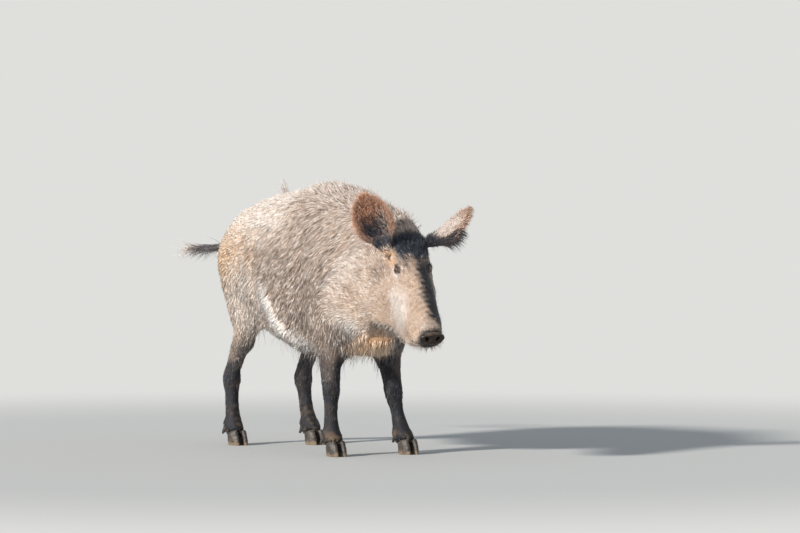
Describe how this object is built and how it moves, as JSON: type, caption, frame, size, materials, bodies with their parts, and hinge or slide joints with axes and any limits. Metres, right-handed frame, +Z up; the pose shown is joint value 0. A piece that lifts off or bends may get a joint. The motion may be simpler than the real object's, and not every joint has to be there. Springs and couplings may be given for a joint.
{
  "type": "wild boar model",
  "caption": "Life-size standing wild boar sow with a bristly grey-brown coat, its head low and turned to its right and its tail held out.",
  "frame": {"origin": "on the floor under the middle of the boar's outer box, head, ears and tail included", "axes": "+Z up from the floor; +Y towards the tail, so the boar faces -Y; +X towards the boar's left side"},
  "size_m": [0.3326, 1.4942, 0.7613],
  "materials": {
    "body_coat": "bristly grey-brown coat, tan on the rump, cheeks and throat",
    "leg_coat": "short dark coat with dried mud low down",
    "ear_coat": "rust-rimmed short coat, dark inside",
    "snout_skin": "bare dark skin",
    "horn": "dark horn, satin",
    "eye": "wet, glossy"
  },
  "bodies": {
    "root": {"claw_fore_left_inner": "horn", "claw_fore_left_outer": "horn", "claw_fore_right_inner": "horn", "claw_fore_right_outer": "horn", "claw_hind_left_inner": "horn", "claw_hind_left_outer": "horn", "claw_hind_right_inner": "horn", "claw_hind_right_outer": "horn", "dewclaw_fore_left_inner": "horn", "dewclaw_fore_left_outer": "horn", "dewclaw_fore_right_inner": "horn", "dewclaw_fore_right_outer": "horn", "dewclaw_hind_left_inner": "horn", "dewclaw_hind_left_outer": "horn", "dewclaw_hind_right_inner": "horn", "dewclaw_hind_right_outer": "horn", "ear_left": "ear_coat", "ear_right": "ear_coat", "eye_left": "eye", "eye_right": "eye", "fore_foot_left": "leg_coat", "fore_foot_right": "leg_coat", "forearm_left": "leg_coat", "forearm_right": "leg_coat", "head": "body_coat", "hind_foot_left": "leg_coat", "hind_foot_right": "leg_coat", "lower_jaw": "body_coat", "neck": "body_coat", "shank_left": "leg_coat", "shank_right": "leg_coat", "shoulder_left": "body_coat", "shoulder_right": "body_coat", "snout_disc": "snout_skin", "tail": "leg_coat", "thigh_left": "body_coat", "thigh_right": "body_coat", "trunk": "body_coat"}
  },
  "joints": []
}
